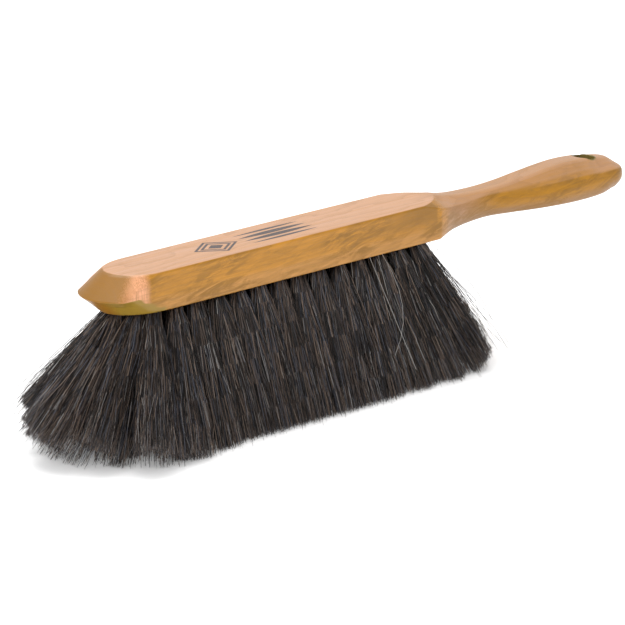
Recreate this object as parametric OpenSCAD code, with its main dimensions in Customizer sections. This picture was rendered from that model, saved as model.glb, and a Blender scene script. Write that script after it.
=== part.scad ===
// Neck duster brush with a one-piece wooden block and handle.
// The long block carries rows of horsehair tufts. Each tuft is folded into a blind hole
// and held there by a flat wire anchor. +X runs from the nose to the handle, +Z is up,
// and the brush stands on the trimmed ends of its hair at z = 0.

/* [Wooden block] */
// Width of the straight part of the block
block_w = 31; // [26:0.5:40]
// Thickness of the block
block_h = 18.3; // [14:0.1:24]
// Straight length, from the start of the nose curve to the heel
block_len = 162.4; // [120:0.1:220]

/* [Nose] */
// Length of the rounded nose on the top face
nose_top = 21; // [14:0.5:30]
// Length of the rounded nose on the underside
nose_bottom = 23.5; // [14:0.5:30]
// Length of the nose where its two lower bevels meet
nose_mid = 29.4; // [16:0.1:38]
// Length of the nose at its sharp ridge
nose_ridge = 33.5; // [18:0.5:42]
// Height of the ridge above the underside
ridge_z = 8.3; // [5:0.1:12]
// Height of the line where the two lower bevels meet
mid_z = 5; // [2:0.1:8]
// Half width of the full ridge curve, before the block's sides cut it
ridge_b = 24.9; // [18:0.1:32]
// Half width of the curve between the lower bevels
mid_b = 17.6; // [15.6:0.1:24]

/* [Handle] */
// Centre of the round end, from the heel
cap_x = 134; // [110:1:170]
// Radius of the hang hole
hang_r = 5.5; // [3:0.1:6.5]
// Centre of the hang hole, from the heel
hang_x = 125; // [100:1:160]

/* [Hair] */
// Depth of hair below the block, to the flat trimmed ends
trim = 63.5; // [40:0.5:90]
// Length of a tuft outside the wood
hair_len = 66; // [45:0.5:95]
// Rows of tufts along the block
rows = 15; // [15:1:15]
// Distance between rows
row_pitch = 12.65; // [11:0.1:16]
// Centre of the first tuft, from the heel
first_x = -179.5; // [-190:0.5:-150]
// Distance of the inner tufts from the middle line
inner_y = 4.2; // [4:0.1:4.8]
// Distance of the outer tufts from the middle line
outer_y = 10.8; // [8:0.1:12.5]
// Radius of a tuft where it leaves its hole
root_r = 2.3; // [1.5:0.05:3]
// Radius of a tuft at its tips
tip_r = 6; // [3:0.1:6.2]
// Lean of the outer tufts, sideways
side_lean = 17; // [0:1:25]
// Lean of the first tuft, towards the nose
nose_lean = 44; // [0:1:50]
// Lean of the last tufts, towards the handle
heel_lean = 30; // [0:1:40]

/* [Anchors] */
// Depth of each tuft hole
hole_depth = 10; // [6:0.5:12]
// Gap between a tuft and its hole
hole_gap = 0.05; // [0.02:0.01:0.2]
// Length, thickness and height of a flat wire anchor
anchor = [6.4, 0.5, 1.8]; // [0.3:0.1:8]

/* [Hidden] */
half_w = block_w / 2;
nose_x = -block_len;
// stretches over which the tufts start to lean
nose_fan = [-135, first_x];
heel_fan = [-45, first_x + (rows - 0.5) * row_pitch];
fan_power = 1.3;
nose_spread = 1.5;

// the handle from the heel to its round end, as half sections:
// [x, [y, z] from the middle of the top, round the side, to the middle of the underside]
sections = [
    [-1, [[0, 18.3], [15.2, 18.3], [15.5, 18.2], [15.5, 13], [15.5, 9], [15.5, 5], [15.5, 1.5], [15.3, 0], [0, 0]]],
    [0, [[0, 18.3], [15.1, 18.3], [15.5, 18.1], [15.5, 13], [15.5, 9], [15.5, 5], [15.5, 1.5], [15.3, 0], [0, 0]]],
    [7.3, [[0, 18.3], [11.6, 18.3], [15.5, 16.1], [15.5, 12.6], [15.5, 9], [15.5, 5], [15.5, 1.5], [15.3, 0], [0, 0]]],
    [11, [[0, 18.3], [9.4, 18.3], [15.5, 14.8], [15.5, 12], [15.5, 8.6], [15.5, 5], [15.4, 1.5], [15.2, 0], [0, 0]]],
    [16, [[0, 18.3], [5, 18.2], [13.9, 13.9], [14.3, 11.5], [14.4, 8.5], [14.3, 5.2], [13.8, 2], [12.8, 0.4], [0, 0.4]]],
    [19.8, [[0, 18.1], [3.9, 17.8], [12.5, 13.4], [13.2, 11.2], [13.3, 8.4], [13.1, 5.3], [12.5, 2.4], [11.3, 0.8], [0, 0.8]]],
    [25, [[0, 16.9], [3.8, 16.7], [10.9, 12.9], [11.8, 10.9], [12, 8.3], [11.8, 5.4], [11, 2.8], [9.7, 1.2], [0, 1.2]]],
    [35, [[0, 15.6], [4.3, 15.5], [9, 12.6], [10.1, 10.6], [10.4, 8.3], [10.2, 5.7], [9.3, 3.3], [7.9, 1.7], [0, 1.6]]],
    [50.5, [[0, 15], [5, 15], [7.6, 12.6], [8.8, 10.6], [9.2, 8.3], [9, 5.9], [8.1, 3.5], [6.6, 1.9], [0, 1.8]]],
    [65, [[0, 15.5], [5.1, 15.5], [8.2, 12.6], [9.8, 10.5], [10.4, 8.1], [10.3, 5.5], [9.4, 3], [8, 1.4], [0, 1.3]]],
    [81, [[0, 16.9], [5.3, 16.9], [9.2, 13.2], [11.4, 10.7], [12.3, 8], [12.2, 5.2], [11.4, 2.4], [10.2, 0.7], [0, 0.6]]],
    [96, [[0, 18.2], [5.4, 18.2], [10, 13.9], [12.7, 11], [13.8, 8], [13.8, 5], [13, 2.1], [11.9, 0.3], [0, 0.2]]],
    [107, [[0, 18.7], [5.5, 18.7], [10.3, 14.2], [13.1, 11.2], [14.2, 8.1], [14.2, 5], [13.4, 2], [12.2, 0], [0, 0]]],
    [118, [[0, 18.5], [5.3, 18.4], [10.1, 14], [13, 11.1], [14.1, 8], [14.1, 5], [13.2, 2], [12, 0], [0, 0]]],
    [127, [[0, 17.7], [4.8, 17.4], [9.5, 13.5], [12.6, 10.9], [13.7, 8], [13.7, 5], [12.8, 2], [11.6, 0.1], [0, 0.1]]],
    [134, [[0, 16.8], [4.6, 16.4], [9.8, 13.3], [12.6, 10.9], [13.2, 8.2], [12.7, 5.3], [11.3, 2.7], [9.4, 0.8], [0, 0.6]]],
];
last = len(sections) - 1;
nose_steps = 20;  // points round each half of the nose
steps = 4;        // extra rings between two sections
cap_steps = 12;   // rings around the round end
cap_angle = 84;   // the last ring stops here, and a narrow strip closes the end
cap_drop = 0.8;   // how far the top edge falls round the end

wood_end = cap_x + max([for (p = sections[last][1]) p[0]]);
hair_start = first_x - hair_len * sin(nose_lean) - tip_r * cos(nose_lean);
shift_x = -(wood_end + hair_start) / 2;

light_wood = [0.80, 0.62, 0.36];
dark_hair = [0.13, 0.11, 0.10];
steel = [0.62, 0.62, 0.64];

// ---------- smooth curve through the handle sections ----------
function slope(i, j, c) =
    let (a = max(i - 1, 0), b = min(i + 1, last))
    (sections[b][1][j][c] - sections[a][1][j][c]) / (sections[b][0] - sections[a][0]);
// the heel's edges stay sharp, so the curve runs smoothly only past the fourth section
function value(i, t, j, c) =
    let (p = sections[i][1][j][c], q = sections[i + 1][1][j][c], w = sections[i + 1][0] - sections[i][0])
    i < 4 ? p + (q - p) * t
    : (2 * t ^ 3 - 3 * t ^ 2 + 1) * p + (t ^ 3 - 2 * t ^ 2 + t) * w * slope(i, j, c)
      + (3 * t ^ 2 - 2 * t ^ 3) * q + (t ^ 3 - t ^ 2) * w * slope(i + 1, j, c);
function half_ring(i, t) =
    let (x = sections[i][0] + (sections[i + 1][0] - sections[i][0]) * t)
    [for (j = [0:8]) [x, value(i, t, j, 0), value(i, t, j, 1)]];
// round the end every point turns about the cap's centre; the middle points slide
// outwards under the flat so that no two rings share a point
function cap_ring(a) =
    let (s = sections[last][1])
    [for (j = [0:8])
        j == 0 ? [cap_x + 0.7 * s[1][0] * sin(a), 0, s[0][1] - cap_drop * sin(a)]
        : j == 8 ? [cap_x + 0.7 * s[7][0] * sin(a), 0, s[8][1]]
        : [cap_x + s[j][0] * sin(a), s[j][0] * cos(a), s[j][1] - (j < 3 ? cap_drop * sin(a) : 0)]];
function whole_ring(h) = concat(h, [for (j = [7:-1:1]) [h[j][0], -h[j][1], h[j][2]]]);

module handle() {
    rings = concat(
        [for (i = [0:last - 1]) for (k = [0:i < 4 ? 0 : steps - 1]) whole_ring(half_ring(i, k / steps))],
        [for (k = [0:cap_steps]) whole_ring(cap_ring(cap_angle * k / cap_steps))]);
    n = 16;
    m = len(rings);
    e = (m - 1) * n;
    polyhedron(
        points = [for (r = rings) each r],
        faces = concat(
            [[0, for (j = [n - 1:-1:1]) j]],
            [for (i = [0:m - 2]) for (j = [0:n - 1])
                let (a = i * n + j, b = i * n + (j + 1) % n) each [[a, b, b + n], [a, b + n, a + n]]],
            [[e, e + 1, e + n - 1], [e + 7, e + 8, e + 9]],
            [for (j = [1:6]) each [[e + j, e + j + 1, e + n - j], [e + j + 1, e + n - j - 1, e + n - j]]]
        ),
        convexity = 6);
}

// half outline of the nose at one level: an ellipse of length a and half width b round from
// the tip, cut by the block's side, then a straight run back into the block
function nose_half(a, b, z) =
    let (side = asin(min(1, half_w / b)))
    [for (k = [1:nose_steps]) [nose_x - a * cos(side * k / nose_steps), b * sin(side * k / nose_steps), z],
     [nose_x + 2, half_w, z]];
function nose_ring(a, b, z) =
    let (h = nose_half(a, b, z), m = len(h))
    concat([[nose_x - a, 0, z]], h, [for (k = [m - 1:-1:0]) [h[k][0], -h[k][1], z]]);

module nose() {
    rings = [
        nose_ring(nose_bottom, half_w, 0),
        nose_ring(nose_mid, mid_b, mid_z),
        nose_ring(nose_ridge, ridge_b, ridge_z),
        nose_ring(nose_top, half_w, block_h),
    ];
    n = len(rings[0]);
    m = len(rings);
    polyhedron(
        points = [for (r = rings) each r],
        faces = concat(
            [[0, for (j = [n - 1:-1:1]) j]],
            [for (i = [0:m - 2]) for (j = [0:n - 1])
                let (a = i * n + j, b = i * n + (j + 1) % n) each [[a, b, b + n], [a, b + n, a + n]]],
            [[for (j = [0:n - 1]) (m - 1) * n + j]]
        ),
        convexity = 6);
}

// ---------- tufts ----------
function row_x(k) = first_x + (k - 1) * row_pitch;
// the first row is rounded like the nose; every other row has two outer tufts and,
// half a pitch behind them, two inner ones
function row_spots(k) = k == 1
    ? [[first_x, 0], [first_x + 7, 6.5], [first_x + 7, -6.5]]
    : [for (s = [-1, 1]) each [[row_x(k), s * outer_y], [row_x(k) + row_pitch / 2, s * inner_y]]];

function nose_part(x) = x > nose_fan[0] ? 0 : ((x - nose_fan[0]) / (nose_fan[1] - nose_fan[0])) ^ fan_power;
function heel_part(x) = x < heel_fan[0] ? 0 : ((x - heel_fan[0]) / (heel_fan[1] - heel_fan[0])) ^ fan_power;
function lean_x(p) = tan(heel_lean * heel_part(p[0])) - tan(nose_lean * nose_part(p[0]));
function lean_y(p) =
    let (out = p[1] / outer_y)
    tan(side_lean) * out * (1 + nose_spread * abs(out) * nose_part(p[0]));

// puts a tuft's own frame at its hole's mouth, with -Z along the hair
module at_spot(p) {
    tilt = atan(norm([lean_x(p), lean_y(p)]));
    turn = atan2(-lean_y(p), -lean_x(p));
    translate([p[0], p[1], 0]) rotate([0, 0, turn]) rotate([0, tilt, 0]) rotate([0, 0, -turn])
        children();
}

module hole(p) {
    at_spot(p) translate([0, 0, -4]) cylinder(r = root_r + hole_gap, h = hole_depth + 4, $fn = 48);
}

module wire_anchor(p) {
    at_spot(p) translate([0, 0, hole_depth - anchor[2]]) translate([-anchor[0] / 2, -anchor[1] / 2, 0])
        cube(anchor);
}

// a straight root in the hole, then a cone that spreads to the tips
module tuft(p) {
    collar = root_r * norm([lean_x(p), lean_y(p)]) + 0.4;
    difference() {
        at_spot(p) rotate_extrude($fn = 48) polygon([
            [0, -hair_len], [tip_r, -hair_len], [root_r, -collar], [root_r, hole_depth], [0, hole_depth]
        ]);
        wire_anchor(p);
        translate([p[0] - 60, p[1] - 60, -trim - 20]) cube([120, 120, 20]);
    }
}

module place() { translate([shift_x, 0, trim]) children(); }

module block_handle() {
    color(light_wood) place() difference() {
        union() {
            nose();
            translate([nose_x, -half_w, 0]) cube([block_len, block_w, block_h]);
            handle();
        }
        for (k = [1:rows]) for (p = row_spots(k)) {
            hole(p);
            wire_anchor(p);
        }
        translate([hang_x, 0, -5]) cylinder(r = hang_r, h = 30, $fn = 64);
    }
}

module tuft_row(k) { color(dark_hair) place() for (p = row_spots(k)) tuft(p); }
module anchor_row(k) { color(steel) place() for (p = row_spots(k)) wire_anchor(p); }

block_handle();
tuft_row(1);  // tuft_row_01
tuft_row(2);  // tuft_row_02
tuft_row(3);  // tuft_row_03
tuft_row(4);  // tuft_row_04
tuft_row(5);  // tuft_row_05
tuft_row(6);  // tuft_row_06
tuft_row(7);  // tuft_row_07
tuft_row(8);  // tuft_row_08
tuft_row(9);  // tuft_row_09
tuft_row(10);  // tuft_row_10
tuft_row(11);  // tuft_row_11
tuft_row(12);  // tuft_row_12
tuft_row(13);  // tuft_row_13
tuft_row(14);  // tuft_row_14
tuft_row(15);  // tuft_row_15
anchor_row(1);  // anchor_row_01
anchor_row(2);  // anchor_row_02
anchor_row(3);  // anchor_row_03
anchor_row(4);  // anchor_row_04
anchor_row(5);  // anchor_row_05
anchor_row(6);  // anchor_row_06
anchor_row(7);  // anchor_row_07
anchor_row(8);  // anchor_row_08
anchor_row(9);  // anchor_row_09
anchor_row(10);  // anchor_row_10
anchor_row(11);  // anchor_row_11
anchor_row(12);  // anchor_row_12
anchor_row(13);  // anchor_row_13
anchor_row(14);  // anchor_row_14
anchor_row(15);  // anchor_row_15
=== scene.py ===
# %% [markdown]
# # A wooden duster with horsehair tufts
# The CAD model of the duster is the frame: it holds the sizes, the tuft holes and the anchors.
# This lesson gives it its finish. The wood gets softened edges, a grain, a varnish and an ink
# ornament, and each plain tuft cone becomes thousands of separate hairs. Lengths below are in
# millimetres, measured from the heel of the block and from its underside, and one function
# turns them into metres in the CAD frame.

import math

import bpy
import numpy as np
from mathutils import Matrix, Vector


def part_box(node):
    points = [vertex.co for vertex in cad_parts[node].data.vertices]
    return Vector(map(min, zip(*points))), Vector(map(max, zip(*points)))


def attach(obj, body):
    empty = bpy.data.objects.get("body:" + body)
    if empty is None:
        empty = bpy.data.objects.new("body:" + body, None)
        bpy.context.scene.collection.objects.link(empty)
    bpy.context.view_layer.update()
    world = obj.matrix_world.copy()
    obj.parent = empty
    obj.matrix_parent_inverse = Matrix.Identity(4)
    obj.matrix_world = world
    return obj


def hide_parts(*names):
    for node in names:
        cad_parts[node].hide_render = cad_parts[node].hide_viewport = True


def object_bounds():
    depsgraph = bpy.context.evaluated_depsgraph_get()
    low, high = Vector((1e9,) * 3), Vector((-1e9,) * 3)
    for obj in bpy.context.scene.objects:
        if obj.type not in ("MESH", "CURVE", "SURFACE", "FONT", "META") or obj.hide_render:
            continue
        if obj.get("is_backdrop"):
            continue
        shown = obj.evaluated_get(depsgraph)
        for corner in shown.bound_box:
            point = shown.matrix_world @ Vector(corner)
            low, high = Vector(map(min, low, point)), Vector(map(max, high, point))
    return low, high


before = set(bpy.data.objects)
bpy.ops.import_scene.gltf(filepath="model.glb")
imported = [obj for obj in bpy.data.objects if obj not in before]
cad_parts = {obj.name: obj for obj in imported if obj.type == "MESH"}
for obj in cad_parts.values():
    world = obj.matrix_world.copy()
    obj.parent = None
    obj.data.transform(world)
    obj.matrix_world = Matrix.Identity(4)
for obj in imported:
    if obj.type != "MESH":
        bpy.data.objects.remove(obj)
cad_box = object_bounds()
MM = 0.001

WOOD_END = 147.2
wood_lo, wood_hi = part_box("block_handle")
HEEL_X = wood_hi.x - WOOD_END * MM
UNDERSIDE_Z = wood_lo.z
ROWS = sum(name.startswith("tuft_row_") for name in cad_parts)
print(f"heel at x = {HEEL_X:.4f} m, underside at z = {UNDERSIDE_Z:.4f} m, {ROWS} rows of tufts")


def in_frame(points):
    """Millimetres from the heel and the underside, as metres in the CAD frame:
    x moves by the heel's place, and z by the underside's height."""
    return np.asarray(points) * MM + np.array([HEEL_X, 0.0, UNDERSIDE_Z])


# %% [markdown]
# ## The camera
# The brush is seen from in front of its nose, a little above, from far away with a long lens,
# so its long edges stay nearly parallel. The camera is described by the direction in which it
# looks, how far away it stands, and how far the middle of the view lies from the heel. A long
# lens is a small angle, and a far camera with a small angle keeps the handle from shrinking.

# %% Camera
TURN, TILT = math.radians(43.663), math.radians(16.271)
LENS, SENSOR = 254.1888, 36.0                          # mm
AWAY = np.array([41.663, 34.929, 2052.6]) * 1.015      # mm to the right, up and ahead

right = np.array([math.cos(TURN), -math.sin(TURN), 0.0])
up = np.array([math.sin(TURN) * math.sin(TILT), math.cos(TURN) * math.sin(TILT), math.cos(TILT)])
ahead = np.cross(up, right)

camera_data = bpy.data.cameras.new("camera")
camera_data.sensor_width, camera_data.lens = SENSOR, LENS
camera_data.clip_start, camera_data.clip_end = 0.05, 60.0
camera = bpy.data.objects.new("camera", camera_data)
place = in_frame(-(AWAY[0] * right + AWAY[1] * up + AWAY[2] * ahead))
basis = np.eye(4)
basis[:3, 0], basis[:3, 1], basis[:3, 2], basis[:3, 3] = right, up, -ahead, place
camera.matrix_world = Matrix(basis.tolist())
bpy.context.scene.collection.objects.link(camera)
bpy.context.scene.camera = camera
print("camera at", [round(float(c), 3) for c in place], "lens", round(camera_data.lens, 1), "mm")

# %% [markdown]
# ## Helpers for surfaces
# A surface is a grid of points. Rows and columns of the grid become triangles, points that lie
# on top of each other become one, and triangles with no area are dropped. That closes a seam
# or a pole without any hand work, and it is all done on whole arrays.


# %% Grids to meshes
def grid_triangles(rows, cols, first=0, closed=False):
    """Triangles of a grid of rows x cols points numbered row by row from `first`: each cell
    gives two. A closed grid also joins its last column to its first."""
    i = np.arange(rows - 1)[:, None]
    j = np.arange(cols if closed else cols - 1)[None, :]
    k = (j + 1) % cols
    a, b, c, d = i * cols + j, i * cols + k, (i + 1) * cols + k, (i + 1) * cols + j
    return first + np.stack([np.stack([a, b, c], -1), np.stack([a, c, d], -1)], -2).reshape(-1, 3)


def welded(points, faces, near=1e-4):
    """Merges points closer than `near`, then drops the triangles that lost a corner, and those
    that lie in the middle plane y = 0, where each would meet its own mirror image."""
    _, first, number = np.unique(np.round(points / near).astype(np.int64), axis=0,
                                 return_index=True, return_inverse=True)
    faces = number.reshape(-1)[faces]
    points = points[first]
    real = (faces != np.roll(faces, 1, axis=1)).all(axis=1)
    flat = (np.abs(points[faces][:, :, 1]) < near).all(axis=1)
    return points, faces[real & ~flat]


def signed_volume(points, faces):
    """Sum over triangles of a . (b x c) / 6: positive when the faces point outwards."""
    a, b, c = (points[faces[:, n]] for n in range(3))
    return float(np.einsum("ij,ij->i", a, np.cross(b, c)).sum() / 6)


def mesh_object(name, points, faces, smooth=True, slots=None):
    """A mesh object at the origin from points in metres and triangles."""
    mesh = bpy.data.meshes.new(name)
    mesh.vertices.add(len(points))
    mesh.vertices.foreach_set("co", np.asarray(points, np.float32).ravel())
    mesh.loops.add(len(faces) * 3)
    mesh.loops.foreach_set("vertex_index", np.asarray(faces, np.int32).ravel())
    mesh.polygons.add(len(faces))
    mesh.polygons.foreach_set("loop_start", np.arange(len(faces), dtype=np.int32) * 3)
    mesh.polygons.foreach_set("loop_total", np.full(len(faces), 3, np.int32))
    if slots is not None:
        mesh.polygons.foreach_set("material_index", np.asarray(slots, np.int32))
    mesh.update(calc_edges=True)
    mesh.polygons.foreach_set("use_smooth", np.full(len(faces), smooth))
    obj = bpy.data.objects.new(name, mesh)
    bpy.context.scene.collection.objects.link(obj)
    return obj


# %% [markdown]
# ## The wooden block and handle
# The real one is a single stick of hardwood, moulded along its length and then sanded. It could
# be made from boxes and bevels, but the nose, the heel and the palm swell all run into each
# other. So it is one surface: half a section is nine points, from the middle of the top round
# the side to the middle of the underside, and the sections follow one another along the stick.
# They are the CAD model's sections with two changes, both under 2 mm: the long edges are eased,
# and the underside rises a little more over the last of the handle.

# %% Half sections along the handle
SECTION_X = np.array([-4, 0, 7.3, 11, 16, 19.8, 25, 35, 50.5, 65, 81, 96, 107, 118, 127, 134.0])
SECTION_YZ = np.array([
    [[0, 18.3], [14.8, 18.3], [15.5, 17.6], [15.5, 13], [15.5, 8.3],
     [15.5, 5], [15.5, 1.5], [15.2, 0], [0, 0]],
    [[0, 18.3], [14.8, 18.3], [15.5, 17.6], [15.5, 13], [15.5, 8.3],
     [15.5, 5], [15.5, 1.5], [15.2, 0], [0, 0]],
    [[0, 18.3], [11.6, 18.3], [15.5, 16.1], [15.5, 12.6], [15.5, 9],
     [15.5, 5], [15.5, 1.5], [15.2, 0], [0, 0]],
    [[0, 18.3], [9.4, 18.3], [15.5, 14.8], [15.5, 12], [15.5, 8.6],
     [15.5, 5], [15.4, 1.5], [15.1, 0], [0, 0]],
    [[0, 18.3], [5, 18.2], [13.9, 13.9], [14.3, 11.5], [14.4, 8.5],
     [14.3, 5.2], [13.8, 2], [12.8, 0.4], [0, 0.4]],
    [[0, 18.1], [3.9, 17.8], [12.5, 13.4], [13.2, 11.2], [13.3, 8.4],
     [13.1, 5.3], [12.5, 2.4], [11.3, 0.8], [0, 0.8]],
    [[0, 16.9], [3.8, 16.7], [10.9, 12.9], [11.8, 10.9], [12, 8.3],
     [11.8, 5.4], [11, 2.8], [9.7, 1.2], [0, 1.2]],
    [[0, 15.6], [4.3, 15.5], [9, 12.6], [10.1, 10.6], [10.4, 8.3],
     [10.2, 5.7], [9.3, 3.3], [7.9, 1.7], [0, 1.6]],
    [[0, 15], [5, 15], [7.6, 12.6], [8.8, 10.6], [9.2, 8.3],
     [9, 5.9], [8.1, 3.5], [6.6, 1.9], [0, 1.8]],
    [[0, 15.5], [5.1, 15.5], [8.2, 12.6], [9.8, 10.5], [10.4, 8.1],
     [10.3, 5.5], [9.4, 3], [8, 1.4], [0, 1.3]],
    [[0, 16.9], [5.3, 16.9], [9.2, 13.2], [11.4, 10.7], [12.3, 8],
     [12.2, 5.2], [11.4, 2.4], [10.2, 0.7], [0, 0.6]],
    [[0, 18.2], [5.4, 18.2], [10, 13.9], [12.7, 11], [13.8, 8],
     [13.8, 5], [13, 2.1], [11.9, 0.3], [0, 0.2]],
    [[0, 18.7], [5.5, 18.7], [10.3, 14.2], [13.1, 11.2], [14.2, 8.1],
     [14.2, 5], [13.4, 2], [12.2, 0], [0, 0]],
    [[0, 18.5], [5.3, 18.4], [10.1, 14], [13, 11.1], [14.1, 8],
     [14.1, 5], [13.2, 2], [12, 0], [0, 0]],
    [[0, 17.7], [4.8, 17.4], [9.5, 13.5], [12.6, 10.9], [13.7, 8],
     [13.7, 5], [12.9, 2.3], [11.6, 0.5], [0, 0.4]],
    [[0, 16.8], [4.6, 16.4], [9.8, 13.3], [12.6, 10.9], [13.2, 8.2],
     [12.9, 5.6], [11.8, 3.2], [10.4, 1.6], [0, 1.3]],
])
SHARP_UNTIL = 4      # up to this section the stick is cut with straight runs and clear edges
EASED_EDGE = 0.5     # how far those edges are sanded round, along the stick
print(len(SECTION_X), "half sections of", SECTION_YZ.shape[1], "points")


def section_at(x):
    """Nine [y, z] points at each x. Between two sections the points run straight up to the
    neck, and past it on the cubic p(2t^3-3t^2+1) + q(3t^2-2t^3) + slopes, which has no kinks."""
    slope = np.gradient(SECTION_YZ, SECTION_X, axis=0)
    inner = (SECTION_YZ[2:] - SECTION_YZ[:-2]) / (SECTION_X[2:] - SECTION_X[:-2])[:, None, None]
    slope[1:-1] = inner
    x = np.clip(x, SECTION_X[0], SECTION_X[-1])
    i = np.clip(np.searchsorted(SECTION_X, x, side="right") - 1, 0, len(SECTION_X) - 2)
    width = (SECTION_X[i + 1] - SECTION_X[i])[:, None, None]
    t = ((x - SECTION_X[i])[:, None, None]) / width
    p, q = SECTION_YZ[i], SECTION_YZ[i + 1]
    straight = p + (q - p) * t
    curved = ((2 * t**3 - 3 * t**2 + 1) * p + (t**3 - 2 * t**2 + t) * width * slope[i]
              + (3 * t**2 - 2 * t**3) * q + (t**3 - t**2) * width * slope[i + 1])
    return np.where((i < SHARP_UNTIL)[:, None, None], straight, curved)


def eased_section_at(x):
    """The mean of the sections a little before and after x, weighted by a bell curve, so an
    edge that crosses the stick is rounded over about a millimetre."""
    steps = np.linspace(-2, 2, 9)
    weight = np.exp(-steps**2 / 2)
    return sum(w * section_at(x + s * EASED_EDGE) for s, w in zip(steps, weight / weight.sum()))


# %% [markdown]
# ### The nose
# The nose is cut like the bow of a boat: a bevel falls from the top face and two rise from the
# underside, and they meet in a ridge. At each height its outline is an ellipse, and the block's
# flat sides cut the wide ones. A smooth minimum stands in for that cut, so the edge where bevel
# meets side is slightly rounded, as sanding leaves it.

# %% Nose levels
NOSE_X = -162.4
HALF_W = 15.5
NOSE_Z = np.array([18.3, 18.3, 17.6, 13.0, 8.3, 5.0, 1.5, 0.0, 0.0])
NOSE_LENGTH = np.array([0, 20.3, 21.9, 27.6, 33.5, 29.4, 25.2, 23.1, 0])
NOSE_WIDTH = np.array([0, 14.8, 16.15, 20.5, 24.9, 17.6, 16.0, 15.2, 0])
CUT_SOFTNESS = 0.35


def nose_rows(count):
    """Rows of nine points from the block's end (turn 90 degrees) to the tip (0): each level is
    the ellipse (length cos, width sin), with its y held under the block's half width. The two
    middle points slide along the centre line, so the rows never meet in one point."""
    turn = np.radians(np.linspace(90, 0, count))[:, None]
    x = NOSE_X - NOSE_LENGTH * np.cos(turn)
    y = NOSE_WIDTH * np.sin(turn)
    y = np.where(y > 0, -np.logaddexp(-y / CUT_SOFTNESS, -HALF_W / CUT_SOFTNESS) * CUT_SOFTNESS, 0)
    slide = 0.92 * (1 - turn[:, 0] / (math.pi / 2))
    x[:, 0] = NOSE_X - NOSE_LENGTH[1] * slide
    x[:, 8] = NOSE_X - NOSE_LENGTH[7] * slide
    y[:, [0, 8]] = 0
    y = np.maximum(y, 0) * (np.sin(turn) > 1e-9)
    return np.stack([x, y, np.broadcast_to(NOSE_Z, x.shape)], -1)


# %% [markdown]
# ### The round end
# The handle's end is the last section turned about a point on the centre line, like the end of
# a rolling pin. The top edge falls a little as it goes round.

# %% Cap rows
CAP_X, CAP_DROP = 134.0, 0.8
CAP_LIFT = 1.6       # how far the underside rises towards the tip of the end


def cap_rows(count):
    """Rows of nine points: a point y out from the middle turns to (y sin, y cos)."""
    turn = np.radians(np.linspace(0, 90, count))[:, None]
    y, z = SECTION_YZ[-1, :, 0], SECTION_YZ[-1, :, 1]
    drop = CAP_DROP * np.clip(y / y[2], 0, 1) * (np.arange(9) < 3)
    cos = np.where(turn > math.pi / 2 - 1e-9, 0, np.cos(turn))
    lift = CAP_LIFT * np.clip(y / y[6], 0, 1) * (np.arange(9) > 5)
    return np.stack([CAP_X + y * np.sin(turn), y * cos, z + (lift - drop) * np.sin(turn)], -1)


# %% [markdown]
# ### Rounding the corners of a section
# Each corner of a section is replaced by a short curve between a point before it and a point
# after it. It is a quadratic Bezier curve with the corner as its handle, so its reach sets how
# worn the edge looks: half a millimetre on the block, more on the handle that a palm polishes.

# %% Corner curves
CORNER = np.linspace(0, 1, 6)
BETWEEN = [10, 2, 5, 5, 4, 4, 3, 10]     # extra points on each run between two corners
MOST_REACH = 0.46    # a corner curve takes at most this part of the run beside it
CROWDING = 1.7       # gathers the points of the first and last run near the middle line


def rounded(rows, reach):
    """Rows of nine points, with reach (rows x 9) in mm. Corner curve: (1-t)^2 a + 2t(1-t) c +
    t^2 b, where a and b lie `reach` away from the corner c, and never past a run's middle."""
    run = rows[:, 1:] - rows[:, :-1]
    length = np.maximum(np.linalg.norm(run, axis=-1), 1e-9)
    pieces, leave = [rows[:, :1]], rows[:, 0]
    t = CORNER[None, :, None]
    for k in range(1, 9):
        if k < 8:
            back = np.minimum(reach[:, k], length[:, k - 1] * MOST_REACH)[:, None]
            fore = np.minimum(reach[:, k], length[:, k] * MOST_REACH)[:, None]
            corner = rows[:, k]
            a = corner - run[:, k - 1] / length[:, k - 1, None] * back
            b = corner + run[:, k] / length[:, k, None] * fore
        else:
            a = b = corner = rows[:, 8]
        u = np.linspace(0.03, 0.97, BETWEEN[k - 1])
        if k == 1:
            u = u**CROWDING
        if k == 8:
            u = 1 - (1 - u)**CROWDING
        u = u[None, :, None]
        pieces.append(leave[:, None] * (1 - u) + a[:, None] * u)
        if k < 8:
            pieces.append((1 - t)**2 * a[:, None] + 2 * t * (1 - t) * corner[:, None]
                          + t**2 * b[:, None])
        else:
            pieces.append(rows[:, 8:])
        leave = b
    return np.concatenate(pieces, axis=1)


# %% [markdown]
# ### The hang hole
# The hole could be cut with a Boolean, but that leaves long thin faces round its rim. Here the
# grid itself makes room: where a section crosses the hole, its middle points move out to the
# hole's circle, and a wall joins them. Near the rim the top and the underside roll over into
# the hole, as a countersink takes the sharp edge off.

# %% Hole shape
HOLE_X, HOLE_R, RIM = 125.0, 5.5, 0.6
NOSE_ROWS, CAP_ROWS = 64, 28     # sections round the nose and round the end
RIM_COLUMNS = 18                 # columns near the middle line that can reach the rim
WALL_LEVELS = 9                  # points down the wall of the hole


def hole_half_width(x):
    """sqrt(r^2 - (x - centre)^2) inside the hole, and 0 outside it."""
    return np.sqrt(np.clip(HOLE_R**2 - (x - HOLE_X)**2, 0, None))


def rim_fall(points):
    """How far a point at distance d from the hole's axis rolls down: a quarter circle,
    rim - sqrt(rim^2 - (rim - (d - r))^2), and nothing past the rim."""
    d = np.hypot(points[..., 0] - HOLE_X, points[..., 1])
    into = RIM - np.clip(d - HOLE_R, 0, RIM)
    return RIM - np.sqrt(np.clip(RIM**2 - into**2, 0, None))


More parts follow.
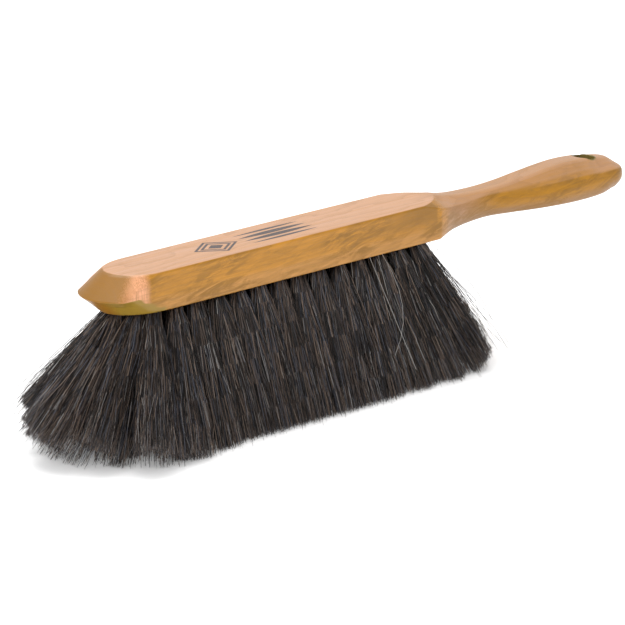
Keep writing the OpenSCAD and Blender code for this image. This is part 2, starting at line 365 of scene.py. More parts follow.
# %% Put the stick together
ON_BLOCK = np.array([0.5, 0.6, 0.6, 0.7, 0.7, 1.0, 1.5, 0.7, 0.0])         # mm of each corner
MORE_ON_HANDLE = np.array([0.0, 0.9, 0.3, 0.9, 2.0, 2.0, 2.0, 1.6, 0.0])   # added past the neck


def stick_stations():
    """Places of the sections, closer where the shape changes fast: at the heel and the hole."""
    round_hole = HOLE_X - HOLE_R * np.cos(np.linspace(0, math.pi, 41))
    return np.concatenate([
        np.linspace(NOSE_X, -4, 78)[1:-1], np.arange(-4, 22, 0.5), np.linspace(22, 117.5, 84)[:-1],
        np.linspace(117.5, HOLE_X - HOLE_R, 7)[:-1], round_hole,
        np.linspace(HOLE_X + HOLE_R, CAP_X, 10)[1:-1]])


def wood_surface():
    """Nose rows, stick rows and cap rows as one half grid, its mirror image, and the wall of
    the hole. Everything is welded, so the result is one closed skin."""
    x = stick_stations()
    yz = eased_section_at(x)
    stick = np.concatenate([np.broadcast_to(x[:, None, None], (len(x), 9, 1)), yz], -1)
    stick[:, [0, 8], 1] = hole_half_width(x)[:, None]
    rows = np.concatenate([nose_rows(NOSE_ROWS)[::-1], stick, cap_rows(CAP_ROWS)])
    along = rows[:, 4, 0]
    grip = np.clip((along - 10) / 12, 0, 1)
    reach = ON_BLOCK + grip[:, None] * MORE_ON_HANDLE
    half = rounded(rows, reach)
    cols = half.shape[1]
    top = np.arange(cols) < RIM_COLUMNS
    low = np.arange(cols) > cols - RIM_COLUMNS
    fall = rim_fall(half)
    half[..., 2] += np.where(low, fall, 0) - np.where(top, fall, 0)

    faces = [grid_triangles(len(rows), cols)]
    inside = np.flatnonzero(np.abs(x - HOLE_X) <= HOLE_R + 1e-9) + NOSE_ROWS
    level = np.linspace(0, 1, WALL_LEVELS)[None, :, None]
    wall = half[inside, -1][:, None] * (1 - level) + half[inside, 0][:, None] * level
    faces.append(grid_triangles(len(inside), WALL_LEVELS, first=len(rows) * cols))
    points = np.concatenate([half.reshape(-1, 3), wall.reshape(-1, 3)])
    faces = np.concatenate(faces)
    mirrored = points * [1, -1, 1]
    return welded(np.concatenate([points, mirrored]),
                  np.concatenate([faces, faces[:, ::-1] + len(points)]))


wood_points, wood_faces = wood_surface()
if signed_volume(wood_points, wood_faces) < 0:
    wood_faces = wood_faces[:, ::-1]
edges = np.sort(wood_faces[:, [0, 1, 1, 2, 2, 0]].reshape(-1, 2), axis=1)
_, uses = np.unique(edges, axis=0, return_counts=True)
wood = mesh_object("wooden_block_and_handle", in_frame(wood_points), wood_faces)
print(f"wood: {len(wood_faces)} triangles,",
      f"{signed_volume(wood_points, wood_faces) / 1000:.1f} cm3,",
      f"{int((uses != 2).sum())} open edges")
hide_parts("block_handle")
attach(wood, "root")

# %% [markdown]
# ## Building a finish from nodes
# A finish is a network of small steps: a noise here, a blend there. Written out one by one they
# fill pages, so a short helper adds a node, sets its sockets and hands back its result. Effects
# that more than one finish could use are node groups with named sockets.


# %% Node helpers
def putter(tree):
    """Returns put(kind, sockets, out, settings), which adds one node to the tree. A socket's
    value is a number or colour, or another node's output, which is then linked."""
    def put(kind, sockets=None, out=0, **settings):
        node = tree.nodes.new("ShaderNode" + kind)
        for key, value in settings.items():
            setattr(node, key, value)
        for key, value in (sockets or {}).items():
            if isinstance(value, bpy.types.NodeSocket):
                tree.links.new(value, node.inputs[key])
            else:
                node.inputs[key].default_value = value
        return node.outputs[out]
    return put


class Steps:
    """The steps a finish is made of, each one line long, all added to one node tree."""

    def __init__(self, tree):
        self.put = putter(tree)

    def math(self, operation, a, b=0.0, c=0.0):
        return self.put("Math", {0: a, 1: b, 2: c}, operation=operation)

    def step(self, value, start, end, low=0.0, high=1.0):
        """Goes smoothly from low to high while value goes from start to end."""
        return self.put("MapRange", {"Value": value, "From Min": start, "From Max": end,
                                     "To Min": low, "To Max": high},
                        interpolation_type="SMOOTHSTEP")

    def blend(self, amount, a, b, mode="MIX"):
        """Colour a where amount is 0 and colour b where it is 1."""
        return self.put("Mix", {0: amount, 6: a, 7: b}, out=2, data_type="RGBA", blend_type=mode)

    def noise(self, place, detail=3.0, rough=0.5, bend=0.0, scale=1.0):
        return self.put("TexNoise", {"Vector": place, "Scale": scale, "Detail": detail,
                                     "Roughness": rough, "Distortion": bend})

    def stretched(self, place, x, y, z, turn=0.0):
        """The place with each axis multiplied, after a turn about the y axis: a small number
        makes a pattern long in that direction."""
        turned = self.put("VectorRotate", {"Vector": place, "Angle": turn}, rotation_type="Y_AXIS")
        return self.put("VectorMath", {0: turned, 1: (x, y, z)}, operation="MULTIPLY")


def effect(name, outputs):
    """A node group with a Place input and these outputs. Returns the group, its steps, its
    place, and a function that sends a result to an output."""
    tree = bpy.data.node_groups.new(name, "ShaderNodeTree")
    tree.interface.new_socket("Place", in_out="INPUT", socket_type="NodeSocketVector")
    for label in outputs:
        tree.interface.new_socket(label, in_out="OUTPUT", socket_type="NodeSocketFloat")
    entry, leave = tree.nodes.new("NodeGroupInput"), tree.nodes.new("NodeGroupOutput")
    def send(label, value):
        tree.links.new(value, leave.inputs[label])
    return tree, Steps(tree), entry.outputs["Place"], send


def use(steps, tree, place, label):
    """Adds a node group to a finish and gives one of its outputs."""
    return steps.put("Group", {"Place": place}, out=label, node_tree=tree)


# %% [markdown]
# ### Grain
# The stick is cut along the grain, so its streaks and pores are long in x and thin across it.
# Noise stretched thirty to sixty times along x gives both. The sides show the wood's curly
# figure, soft patches that lean to one side: it is a bent noise, stretched after a turn. The
# nose cuts across the fibres and shows fine upright lines. The yearly rings are cylinders round
# the heart of the trunk, far below the stick, and each ring darkens slowly and ends sharply.
# One group holds all five patterns.

# %% Grain group
RING_WIDTH, RING_DRIFT = 2.1, 9.0      # mm
TO_HEART = (0, -16, 34)                # mm from the stick to the middle of the trunk
grain, s, p, send = effect("wood_grain", ["Streaks", "Pores", "Figure", "End grain", "Rings"])
wide = s.noise(s.stretched(p, 0.012, 0.5, 0.5), detail=5, rough=0.6, bend=0.3)
fine = s.noise(s.stretched(p, 0.05, 3.2, 3.2), detail=3, rough=0.6)
both = s.math("ADD", s.math("MULTIPLY", wide, 0.5), s.math("MULTIPLY", fine, 0.5))
send("Streaks", s.step(both, 0.34, 0.66))
send("Pores", s.step(s.noise(s.stretched(p, 0.16, 5.5, 5.5), detail=1), 0.62, 0.74))
curl = s.noise(s.stretched(p, 0.06, 0.12, 0.30, turn=0.22), detail=8, rough=0.7, bend=1.0)
clouds = s.noise(s.stretched(p, 0.035, 0.1, 0.13), detail=3, bend=0.5)
send("Figure", s.math("MULTIPLY", s.step(curl, 0.36, 0.62), s.step(clouds, 0.36, 0.62, 0.3, 1.0)))
send("End grain", s.step(s.noise(s.stretched(p, 2.4, 2.4, 0.16), detail=3, rough=0.65), 0.35, 0.65))
off_heart = s.put("VectorMath", {0: p, 1: TO_HEART}, operation="ADD")
across = s.put("VectorMath", {0: off_heart, 1: (0, 1, 1)}, operation="MULTIPLY")
drift = s.noise(s.stretched(p, 0.02, 0.05, 0.05), detail=3, bend=0.4)
from_heart = s.put("VectorMath", {0: across}, out="Value", operation="LENGTH")
radius = s.math("ADD", from_heart, s.math("MULTIPLY", drift, RING_DRIFT))
year = s.math("FRACT", s.math("DIVIDE", radius, RING_WIDTH))
send("Rings", s.math("MULTIPLY", s.math("POWER", year, 3.0), s.step(year, 1.0, 0.93)))
print("wood_grain:", len(grain.nodes), "nodes")

# %% [markdown]
# ### The ink ornament
# The top carries a small ink stamp. Here it is a plain ornament: a lozenge inside another, and
# tapering rules beside it. Each shape is a formula of x and y. A lozenge is |x|/a + |y|/b < 1,
# and a rule that tapers is |y| < half its height times (1 - (x / half its length)^2).

# %% Ornament group
STAMP_Y = -0.5
LOZENGE_X = -119.5
LOZENGE_BANDS = [(0.84, 1.0), (0.56, 0.72), (0.0, 0.36)]
LOZENGE_LONG, LOZENGE_WIDE = 13.5, 9.2           # half sizes
RULES_X, RULE_HALF = -82.5, 21.5
RULES = [(7.0, 1.1), (2.4, 2.0), (-2.4, 2.0), (-7.0, 1.1)]     # y, and half the thickness

stamp, s, p, send = effect("ink_ornament", ["Ink"])
axes = s.put("SeparateXYZ", {0: p}).node
x, y = axes.outputs["X"], s.math("SUBTRACT", axes.outputs["Y"], STAMP_Y)
over_x = s.math("DIVIDE", s.math("SUBTRACT", x, LOZENGE_X), LOZENGE_LONG)
over_y = s.math("DIVIDE", y, LOZENGE_WIDE)
size = s.math("ADD", s.math("ABSOLUTE", over_x), s.math("ABSOLUTE", over_y))
ink = None
for low, high in LOZENGE_BANDS:
    band = s.math("MULTIPLY", s.step(size, low - 0.03, low + 0.01),
                  s.step(size, high + 0.01, high - 0.03))
    ink = band if ink is None else s.math("MAXIMUM", ink, band)
for height, thick in RULES:
    along = s.math("DIVIDE", s.math("SUBTRACT", x, RULES_X), RULE_HALF)
    room = s.math("MULTIPLY", s.math("SUBTRACT", 1.0, s.math("MULTIPLY", along, along)), thick)
    over = s.math("SUBTRACT", room, s.math("ABSOLUTE", s.math("SUBTRACT", y, height)))
    ink = s.math("MAXIMUM", ink, s.step(over, -0.05, 0.15))
worn = s.step(s.noise(p, detail=4, scale=1.1), 0.30, 0.46, 0.72, 1.0)
send("Ink", s.math("MULTIPLY", ink, worn))
print("ink_ornament:", len(stamp.nodes), "nodes")

# %% [markdown]
# ### Putting the wood finish together
# The varnish has coloured the wood unevenly. The top is a pale pinkish beige, the sides golden
# ochre with a paler band along the bottom, and the underside is bare and dull. So the colour is
# chosen by which way the surface faces and by its height, and the grain is laid over it.

# %% Wood finish
TOP_TONE = (0.60, 0.335, 0.205, 1)
SIDE_TONE = (0.55, 0.235, 0.014, 1)
LOW_TONE = (0.55, 0.255, 0.052, 1)
GOLD_TONE = (0.26, 0.115, 0.004, 1)
PATCH_TONE = (0.86, 0.41, 0.22, 1)
NOSE_TONE = (0.30, 0.128, 0.009, 1)
GREEN_TONE = (0.30, 0.185, 0.022, 1)
PALM_TONE = (0.45, 0.243, 0.130, 1)
BAND_TONE = (0.46, 0.20, 0.006, 1)
GRIP_TONE = (0.31, 0.162, 0.062, 1)
UNDER_TONE = (0.40, 0.24, 0.12, 1)
RING_TONE = (0.25, 0.115, 0.025, 1)
OLIVE_TONE = (0.20, 0.145, 0.035, 1)
INK_TONE = (0.018, 0.021, 0.032, 1)

finish = bpy.data.materials.new("varnished_wood")
finish.use_nodes = True
shader = finish.node_tree.nodes["Principled BSDF"]
s = Steps(finish.node_tree)
place = s.put("TexCoord", out="Object")
centred = s.put("VectorMath", {0: place, 1: (-HEEL_X, 0, -UNDERSIDE_Z)}, operation="ADD")
in_mm = s.put("VectorMath", {0: centred, 1: (1000, 1000, 1000)}, operation="MULTIPLY")
axes = s.put("SeparateXYZ", {0: in_mm}).node
x, y, z = (axes.outputs[n] for n in "XYZ")
face_up = s.put("SeparateXYZ", {0: s.put("NewGeometry", out="Normal")}, out="Z")

streaks = use(s, grain, in_mm, "Streaks")
figure = use(s, grain, in_mm, "Figure")
pores = use(s, grain, in_mm, "Pores")
end_grain = use(s, grain, in_mm, "End grain")
rings = use(s, grain, in_mm, "Rings")

on_handle = s.step(x, 8, 24)
on_nose = s.step(x, NOSE_X + 1, NOSE_X - 2)
band = s.step(s.math("ADD", z, s.math("MULTIPLY", figure, 2.5)), 5.5, 8.5)
block_side = s.blend(band, LOW_TONE, SIDE_TONE)
palm_side = s.blend(s.step(x, 26, 60), PALM_TONE, BAND_TONE)
handle_side = s.blend(s.step(face_up, -0.42, -0.02), GRIP_TONE, palm_side)
side = s.blend(on_handle, block_side, handle_side)
side = s.blend(s.math("MULTIPLY", figure, 0.95), side, GOLD_TONE)
side = s.blend(s.math("MULTIPLY", streaks, 0.3), side, GOLD_TONE)
near_heel = s.math("MULTIPLY", s.step(x, -45, 2), s.step(x, 9, 7))
upper_heel = s.math("MULTIPLY", near_heel, s.step(z, 5, 12))
side = s.blend(s.math("MULTIPLY", upper_heel, 0.75), side, GOLD_TONE)
into_nose = s.math("MAXIMUM", s.math("SUBTRACT", NOSE_X, x), 0.1)
aside = s.math("DIVIDE", s.math("ABSOLUTE", y), into_nose)
patch = s.step(s.math("ADD", aside, s.math("MULTIPLY", end_grain, 0.16)), 0.5, 0.86)
bow = s.blend(patch, NOSE_TONE, PATCH_TONE)
bow = s.blend(s.math("MULTIPLY", s.step(x, -186, -194), 0.5), bow, GOLD_TONE)
bow = s.blend(s.math("MULTIPLY", end_grain, 0.5), bow, GOLD_TONE)
side = s.blend(s.step(x, -171.0, -176.0), side, bow)
under_bow = s.math("MULTIPLY", s.step(z, 8.35, 8.0), s.step(face_up, -0.02, -0.12))
bow_low = s.blend(s.step(aside, 0.12, 0.45), NOSE_TONE, GREEN_TONE)
side = s.blend(s.math("MULTIPLY", under_bow, on_nose), side, bow_low)
top = s.blend(on_handle, TOP_TONE, PALM_TONE)
top = s.blend(s.math("MULTIPLY", streaks, 0.42), top, LOW_TONE)
side_until = s.math("SUBTRACT", 0.82, s.math("MULTIPLY", on_handle, 0.22))
top_from = s.math("SUBTRACT", 0.96, s.math("MULTIPLY", on_handle, 0.16))
edge = s.step(face_up, side_until, top_from)
flat_top = s.math("MAXIMUM", on_handle, s.step(z, 17.95, 18.2))
colour = s.blend(s.math("MULTIPLY", edge, flat_top), side, top)
colour = s.blend(s.math("MULTIPLY", rings, 0.28), colour, RING_TONE)
colour = s.blend(s.math("MULTIPLY", pores, 0.36), colour, OLIVE_TONE)
colour = s.blend(s.step(face_up, -0.8, -0.97), colour, UNDER_TONE)

from_hole = s.math("SQRT", s.math("ADD", s.math("POWER", s.math("SUBTRACT", x, HOLE_X), 2.0),
                                  s.math("POWER", y, 2.0)))
colour = s.blend(s.step(from_hole, HOLE_R + 0.9, HOLE_R + 0.2), colour, OLIVE_TONE)
on_top = s.math("MULTIPLY", s.step(z, 18.0, 18.2), 0.93)
ink = s.math("MULTIPLY", use(s, stamp, in_mm, "Ink"), on_top)
colour = s.blend(ink, colour, INK_TONE)

tree = finish.node_tree
tree.links.new(colour, shader.inputs["Base Color"])
tree.links.new(s.step(streaks, 0, 1, 0.34, 0.46), shader.inputs["Roughness"])
bump = s.put("Bump", {"Strength": 0.25, "Distance": 0.00012,
                      "Height": s.math("SUBTRACT", s.math("MULTIPLY", streaks, 0.5), pores)})
tree.links.new(bump, shader.inputs["Normal"])
shader.inputs["Specular IOR Level"].default_value = 0.35
shader.inputs["Coat Weight"].default_value = 0.15
shader.inputs["Coat Roughness"].default_value = 0.16
wood.data.materials.append(finish)
print("varnished_wood:", len(tree.nodes), "nodes")

# %% [markdown]
# ## The anchors
# Inside the block each tuft is folded over a short flat wire. The wires can't be seen, and they
# keep the CAD model's shape. Drawn steel wire is bright with fine lines along it.

# %% Anchor wire
wire = bpy.data.materials.new("anchor_wire")
wire.use_nodes = True
shader = wire.node_tree.nodes["Principled BSDF"]
s = Steps(wire.node_tree)
lines = s.noise(s.stretched(s.put("TexCoord", out="Object"), 900, 9000, 9000), detail=2)
wire.node_tree.links.new(s.blend(lines, (0.42, 0.42, 0.43, 1), (0.62, 0.61, 0.60, 1)),
                         shader.inputs["Base Color"])
shader.inputs["Metallic"].default_value = 1.0
shader.inputs["Roughness"].default_value = 0.32
anchors = [node for name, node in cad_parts.items() if name.startswith("anchor_row_")]
for node in anchors:
    node.data.materials.clear()
    node.data.materials.append(wire)
print(len(anchors), "rows of anchors in drawn steel")

# %% [markdown]
# ## The horsehair
# Each tuft is a bundle of hairs pushed into a round hole. The hairs leave the hole side by side,
# spread into a cone, cling to each other in locks, and are trimmed level at the bottom. Blender
# has a hair system, but a hair that is a thin closed tube can be measured, exported and lit like
# any other piece. So each hair is a tube of three sides that tapers to its tip, and all the
# hairs of a row are made at once, as one array.
#
# The tufts stand in rows. Outer tufts follow the block's two long edges, with two inner ones
# staggered between them, and at the nose and the heel they lean out to make the fan.

# %% Where the tufts stand and how they lean
FIRST_X, PITCH, OUT_Y, IN_Y = -179.5, 12.65, 10.8, 4.2
NOSE_TUFTS = [[-179.5, 0.0], [-172.5, 6.5], [-172.5, -6.5]]
HAIR_LEN = 66.0
ROOT_R, TIP_R = 2.3, 8.6
NOSE_LEAN, HEEL_LEAN, SIDE_LEAN = 44, 30, 17     # degrees, at the very end of each fan
NOSE_FAN, HEEL_FAN = (-135, -44.5), (-45, 48.925)      # where a fan starts, and how far it runs
FAN_POWER, NOSE_SPREAD = 1.3, 1.5


def tufts_of(row):
    """The [x, y] of each tuft in a row, with the first row at the nose."""
    if row == 1:
        return np.array(NOSE_TUFTS)
    x = FIRST_X + (row - 1) * PITCH
    spots = [[x, OUT_Y], [x, -OUT_Y], [x + PITCH / 2, IN_Y], [x + PITCH / 2, -IN_Y]]
    return np.array(spots)


def leaning(spot):
    """The way a tuft points. The lean grows as a power of the distance into the nose's fan or
    the heel's, and sideways it grows with the distance from the middle line."""
    x, y = spot
    nose = max(0.0, (x - NOSE_FAN[0]) / NOSE_FAN[1])**FAN_POWER
    heel = max(0.0, (x - HEEL_FAN[0]) / HEEL_FAN[1])**FAN_POWER
    out = y / OUT_Y
    along = (math.tan(math.radians(HEEL_LEAN) * heel) - math.tan(math.radians(NOSE_LEAN) * nose))
    aside = math.tan(math.radians(SIDE_LEAN)) * out * (1 + NOSE_SPREAD * abs(out) * nose)
    lean = np.array([along, aside, -1.0])
    return lean / np.linalg.norm(lean)


spots = {row: tufts_of(row) for row in range(1, ROWS + 1)}
print(sum(len(t) for t in spots.values()), "tufts in", len(spots), "rows")

# %% [markdown]
# ### The hair's colours
# Horsehair is a mix: mostly near black, some brown, some blue-grey, and now and then a pale one.
# Each shade is its own plain finish, and a hair takes one of them by a weighted draw.

# %% Hair shades
SHADES = {                       # colour, and how many hairs in a hundred have it
    "black": ((0.009, 0.0075, 0.0075), 35),
    "dark_brown": ((0.040, 0.028, 0.023), 23),
    "brown": ((0.112, 0.079, 0.061), 18),
    "light_brown": ((0.230, 0.168, 0.130), 7),
    "blue_grey": ((0.078, 0.082, 0.104), 12),
    "grey": ((0.230, 0.215, 0.210), 5),
    "pale": ((0.38, 0.365, 0.345), 1),
}


def hair_finish(name, colour):
    """A hair is smooth and a little shiny: a fairly low roughness and a clear specular."""
    material = bpy.data.materials.new("horsehair_" + name)
    material.use_nodes = True
    surface = material.node_tree.nodes["Principled BSDF"]
    surface.inputs["Base Color"].default_value = (*colour, 1)
    surface.inputs["Roughness"].default_value = 0.38
    surface.inputs["Specular IOR Level"].default_value = 0.42
    return material


hair_finishes = [hair_finish(name, colour) for name, (colour, _) in SHADES.items()]
shade_odds = np.array([share for _, share in SHADES.values()], float)
shade_odds /= shade_odds.sum()
print("hair shades:", ", ".join(SHADES))

# %% [markdown]
# ### One hair
# A hair's path is a line that bends and waves: root + way * s + bend * s^2 + wave * s * sin(...),
# with s from 0 at the root to 1 at the tip. Round that path three points per ring make the tube,
# and a triangle closes each end.

# %% Tubes along many paths
RINGS = 7
SIDES = 3


def tubes(paths, radii, spin):
    """Closed tubes. paths is hairs x rings x 3, and radii is hairs x rings. A ring's points are
    path + radius * (side cos + over sin), with side and over square to the hair."""
    hairs, rings = radii.shape
    way = paths[:, -1] - paths[:, 0]
    way /= np.linalg.norm(way, axis=1, keepdims=True)
    side = np.cross(way, [0.3, 1.0, 0.1])
    side /= np.linalg.norm(side, axis=1, keepdims=True)
    over = np.cross(way, side)
    angle = spin[:, None] + np.arange(SIDES) * 2 * math.pi / SIDES
    ring = side[:, None] * np.cos(angle)[..., None] + over[:, None] * np.sin(angle)[..., None]
    points = paths[:, :, None] + radii[:, :, None, None] * ring[:, None]
    last = (rings - 1) * SIDES
    one = np.concatenate([grid_triangles(rings, SIDES, closed=True), [[0, 2, 1]],
                          [[last, last + 1, last + 2]]])
    faces = one[None] + (np.arange(hairs) * rings * SIDES)[:, None, None]
    return points.reshape(-1, 3), faces.reshape(-1, 3)


# %% [markdown]
# ### One tuft
# The hairs start in the hole's disc and end in a wider disc, each in the same direction from the
# middle, so they don't cross much. Locks are made by pulling each hair's tip towards the tip of
# its lock. The pull is weak in the thick middle of the brush and strong in the fans at the ends,
# where locks stand apart and light comes through.

# %% Hairs of one tuft
HAIRS_PER_TUFT, HAIRS_PER_NOSE_TUFT = 800, 1060
LOCKS = 26
TRIM_Z = -63.5
IN_HOLE = 3.0
FULL_FAN = 0.7                   # a tuft that leans this much or more is fully in a fan
ROUGH_TIP, LOOSE_TIP = 0.42, 0.45          # scatter of the tips, in tip radii
LONG_WAVE, SHORT_WAVE = 2.0, 0.95          # mm
LOCK_UNEVEN, TRIM_UNEVEN = 1.6, 0.55       # mm
THIN, THICK = 0.115, 0.18                  # a hair's radius at the root, in mm
FAN_WIDER, FAN_FLATTER, FAN_NARROWER = 1.0, 0.7, 0.2
NOSE_WIDER, OUT_FLATTER = 0.5, 0.5
LEANS, LENGTHS = [25, 34], [72, 67.5]      # degrees from upright, and mm out of the hole


def tuft_paths(rng, spot, count):
    """Paths and radii of one tuft's hairs, in millimetres from the heel. A hair starts at a
    random point of the hole's disc and runs along way * distance + spread + wave. It ends at
    the trim level or at its longest length, which falls as the hair leans further."""
    way = leaning(spot)
    fan = min(1.0, abs(way[0]) / FULL_FAN)
    side = np.cross(way, [0, 1, 0])
    side /= np.linalg.norm(side)
    over = np.cross(side, way)

    turn, out = rng.uniform(0, 2 * math.pi, count), np.sqrt(rng.uniform(0, 1, count))
    disc = np.stack([out * np.cos(turn), out * np.sin(turn)], 1)
    lock_turn, lock_out = rng.uniform(0, 2 * math.pi, LOCKS), np.sqrt(rng.uniform(0, 1, LOCKS))
    locks = np.stack([lock_out * np.cos(lock_turn), lock_out * np.sin(lock_turn)], 1)
    nearest = np.argmin(np.linalg.norm(disc[:, None] - locks[None], axis=2), axis=1)
    outer = np.clip(disc[:, :1] * np.sign(way[0]), 0, 1)
    pull = rng.uniform(0.0, 0.2, count)[:, None] + fan * (0.1 + 0.6 * outer)
    tip = disc * (1 - pull) + locks[nearest] * pull
    neat = fan * np.minimum(0.6 + outer, 0.9) * (outer > 0)
    tip = tip + rng.normal(0, ROUGH_TIP, (count, 2)) * (1 - neat)
    end_side = tip[:, 0] * np.sign(way[0]) > 0
    tip[:, 0] *= np.where(end_side, 1 - FAN_FLATTER * fan, 1 + FAN_WIDER * fan**2)
    tip[:, 1] *= np.where(tip[:, 1] * np.sign(spot[1]) > 0, OUT_FLATTER, 1.0)
    if way[0] > 0:
        tip[:, 1] *= 1 - FAN_NARROWER * fan
    elif spot[1] == 0:
        tip[:, 1] *= 1 + NOSE_WIDER
        tip[:, 0] += 0.45 * np.abs(tip[:, 1])
    lift = np.abs(rng.normal(0, 0.55, LOCKS))[nearest]
    tip[:, 0] += np.sign(way[0]) * fan * lift * outer[:, 0]**2
    loose = rng.uniform(0, 1, count) < 0.03 + 0.05 * fan
    tip[loose] += rng.normal(0, LOOSE_TIP, (loose.sum(), 2))
    tip[loose, 0] += np.sign(way[0]) * fan * np.abs(rng.normal(0, 0.6, loose.sum()))

    far = way * HAIR_LEN + TIP_R * (tip[:, :1] * side + tip[:, 1:] * over)
    lean = np.degrees(np.arctan2(np.hypot(far[:, 0], far[:, 1]), -far[:, 2]))
    ragged = 0.5 + fan * (0.8 + 3.2 * outer[:, 0])
    lock_length = rng.normal(0, LOCK_UNEVEN, LOCKS)[nearest]
    length = np.interp(lean, LEANS, LENGTHS) + lock_length * fan * outer[:, 0]
    length -= np.abs(rng.normal(0, ragged, count))
    s = np.linspace(0, 1, RINGS)
    start = np.array([spot[0], spot[1], 0.0]) - way * IN_HOLE
    whole = (length + IN_HOLE)[:, None]

    def across(amount):
        return amount[..., 0:1] * side + amount[..., 1:2] * over

    opened = (1 - (1 - s)**1.6)[None, :, None]
    spread = ROOT_R * disc[:, None] + (TIP_R * tip - ROOT_R * disc)[:, None] * opened
    wave_turn, wave_at = rng.uniform(0, 2 * math.pi, count), rng.uniform(0, 2 * math.pi, count)
    size = np.abs(rng.normal(0, LONG_WAVE, count))[:, None] * np.sin(4.2 * s + wave_at[:, None]) * s
    crimp = np.abs(rng.normal(0, SHORT_WAVE, count))[:, None]
    size += crimp * np.sin(10 * s + 2 * wave_at[:, None])
    wave = size[..., None] * np.stack([np.cos(wave_turn), np.sin(wave_turn)], 1)[:, None]
    paths = start + way * (whole * s)[..., None] + across(spread + wave)

    trim = TRIM_Z + np.abs(rng.normal(0, TRIM_UNEVEN, count)) + 0.1
    reach = (start[2] - trim) / np.maximum(start[2] - paths[:, -1, 2], 1e-6)
    keep = np.clip(reach, 0.2, 1.0)
    paths = shortened(paths, keep)
    paths[..., 2] = np.maximum(paths[..., 2], trim[:, None])
    thick = rng.uniform(THIN, THICK, count)[:, None] * (1 - 0.5 * s**2 * keep[:, None])
    return paths, thick


def shortened(paths, keep):
    """The first part of each path, cut at the fraction keep and divided evenly again."""
    rings = paths.shape[1]
    at = keep[:, None] * np.linspace(0, rings - 1, rings)
    low = np.minimum(at.astype(int), rings - 2)
    part = (at - low)[..., None]
    pick = np.arange(len(paths))[:, None]
    return paths[pick, low] * (1 - part) + paths[pick, low + 1] * part


# %% [markdown]
# ### All the rows
# Every row is one piece and replaces that row of plain cones. A seed that depends on the row
# gives every row its own hairs, and the same ones each time the script runs.

# %% Rows of hair
OWN_SHADE_ODDS = 0.55
STRAY_R = 0.14
STRAYS = {       # in these rows a pale hair stands out alone: its root, its bend and its tip
    11: [[(-38, -17, 1), (-35, -28, -22), (-30, -40, -50)]],
    12: [[(-30, -17, 1), (-18, -28, -25), (-40, -36, -42)]],
    15: [[(6, -9, 0), (33, -18, -24), (45, -16, -46)]],
}


def shades_along(rng, count):
    """Each hair draws a shade, and each of its segments keeps it or, half the time, draws its
    own. That speckles the brush, as hairs that dip behind each other do."""
    own = rng.choice(len(SHADES), (count, 1), p=shade_odds)
    other = rng.choice(len(SHADES), (count, RINGS - 1), p=shade_odds)
    return np.where(rng.uniform(0, 1, other.shape) < OWN_SHADE_ODDS, other, own)


def slots_of_faces(shade):
    """A segment's shade on its 2 x SIDES triangles, then the two end triangles."""
    sides = np.repeat(shade, 2 * SIDES, axis=1)
    return np.concatenate([sides, shade[:, :1], shade[:, -1:]], axis=1).ravel()


hair_count = 0
for row in range(1, ROWS + 1):
    rng = np.random.default_rng(700 + row)
    each = HAIRS_PER_TUFT if len(spots[row]) == 4 else HAIRS_PER_NOSE_TUFT
    made = [tuft_paths(rng, spot, each) for spot in spots[row]]
    paths = np.concatenate([m[0] for m in made])
    radii = np.concatenate([m[1] for m in made])
    shade = shades_along(rng, len(paths))
    for a, b, c in STRAYS.get(row, []):
        t = np.linspace(0, 1, RINGS)[:, None]
        curve = (1 - t)**2 * np.array(a) + 2 * t * (1 - t) * np.array(b) + t**2 * np.array(c)
        paths = np.concatenate([paths, curve[None]])
        radii = np.concatenate([radii, np.full((1, RINGS), STRAY_R)])
        shade = np.append(shade, np.full((1, RINGS - 1), len(SHADES) - 1), axis=0)
    points, faces = tubes(paths, radii, rng.uniform(0, 2 * math.pi, len(paths)))
    if signed_volume(points, faces) < 0:
        faces = faces[:, ::-1]
    hair = mesh_object(f"hair_row_{row:02d}", in_frame(points), faces,
                       slots=slots_of_faces(shade))
    for material in hair_finishes:
        hair.data.materials.append(material)
    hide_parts(f"tuft_row_{row:02d}")
    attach(hair, "root")
    hair_count += len(paths)
print(f"{hair_count} hairs, {hair_count * (2 * SIDES * (RINGS - 1) + 2)} triangles")

# %% [markdown]
# ## The floor and the light
# The brush stands on a plain white floor in an even, soft light. A white sky does most of it. A
# broad lamp overhead makes the top the brightest face, and a lower one on the left, on the
# viewer's side, lifts the side and the hairs. The floor is wide, so that it fills the view from
# any side, and rough, so that it mirrors nothing. From low down the far floor ends in sky, so
# the sky is drawn plain white to the eye, and a little dimmer as a light.

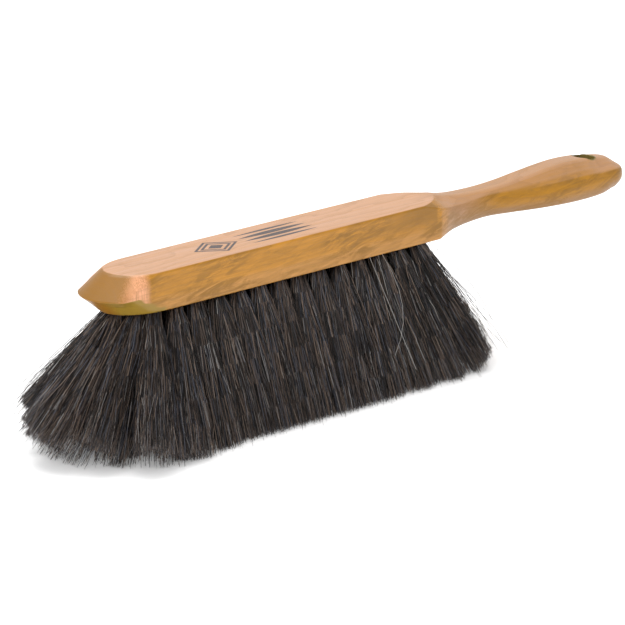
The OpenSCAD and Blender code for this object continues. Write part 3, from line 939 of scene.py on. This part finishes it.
# %% Floor
FLOOR_HALF, FLOOR_Z = 8.0, -0.0002      # metres: a hair's breadth under the brush
floor_points = np.array([[-1, -1, 0], [1, -1, 0], [1, 1, 0], [-1, 1, 0]]) * FLOOR_HALF
floor_points[:, 2] = FLOOR_Z
floor = mesh_object("floor", floor_points, np.array([[0, 1, 2], [0, 2, 3]]), smooth=False)
paper = bpy.data.materials.new("white_paper")
paper.use_nodes = True
shader = paper.node_tree.nodes["Principled BSDF"]
s = Steps(paper.node_tree)
fibres = s.noise(s.put("TexCoord", out="Object"), detail=4, scale=400.0)
paper.node_tree.links.new(s.blend(fibres, (0.96, 0.96, 0.96, 1), (0.99, 0.99, 0.99, 1)),
                          shader.inputs["Base Color"])
shader.inputs["Roughness"].default_value = 0.95
shader.inputs["Specular IOR Level"].default_value = 0.0
shader.inputs["Emission Color"].default_value = (1, 1, 1, 1)
shader.inputs["Emission Strength"].default_value = 0.2
floor.data.materials.append(paper)
floor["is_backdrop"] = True
print("floor", 2 * FLOOR_HALF, "m wide")


# %% Light
def lamp(name, spot, aim, size, watts, tint=(1, 1, 1)):
    """A square soft lamp at spot that shines towards aim, in metres."""
    data = bpy.data.lights.new(name, "AREA")
    data.size, data.energy, data.color = size, watts, tint
    obj = bpy.data.objects.new(name, data)
    obj.location = spot
    obj.rotation_euler = (Vector(aim) - Vector(spot)).to_track_quat("-Z", "Y").to_euler()
    bpy.context.scene.collection.objects.link(obj)
    return obj


lamp("overhead", (0.1, 0.5, 1.6), (0, 0, 0.05), 1.2, 17)
lamp("front_left", (-1.5, -0.8, 0.75), (0, 0, 0.04), 0.8, 11)

LIT, SEEN = 0.75, 1.0      # how bright the sky is as a light, and to the eye
sky = bpy.data.worlds.new("white_sky")
sky.use_nodes = True
sky.node_tree.nodes["Background"].inputs["Color"].default_value = (1, 1, 1, 1)
ray = sky.node_tree.nodes.new("ShaderNodeLightPath")
strength = sky.node_tree.nodes.new("ShaderNodeMapRange")
strength.inputs["To Min"].default_value, strength.inputs["To Max"].default_value = LIT, SEEN
sky.node_tree.links.new(ray.outputs["Is Camera Ray"], strength.inputs["Value"])
sky.node_tree.links.new(strength.outputs["Result"],
                        sky.node_tree.nodes["Background"].inputs["Strength"])
bpy.context.scene.world = sky
bpy.context.scene.view_settings.view_transform = "Standard"
print("two lamps and a white sky")

# %% [markdown]
# ## Measure
# The finished brush must still fill the CAD model's box, apart from hairs that stand out a
# little. Both boxes are written down, so they can be compared.

# %% Sizes
made_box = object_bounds()
for word, (lo, hi) in (("CAD", cad_box), ("made", made_box)):
    print(word, [round((b - a) * 1000, 1) for a, b in zip(lo, hi)], "mm")
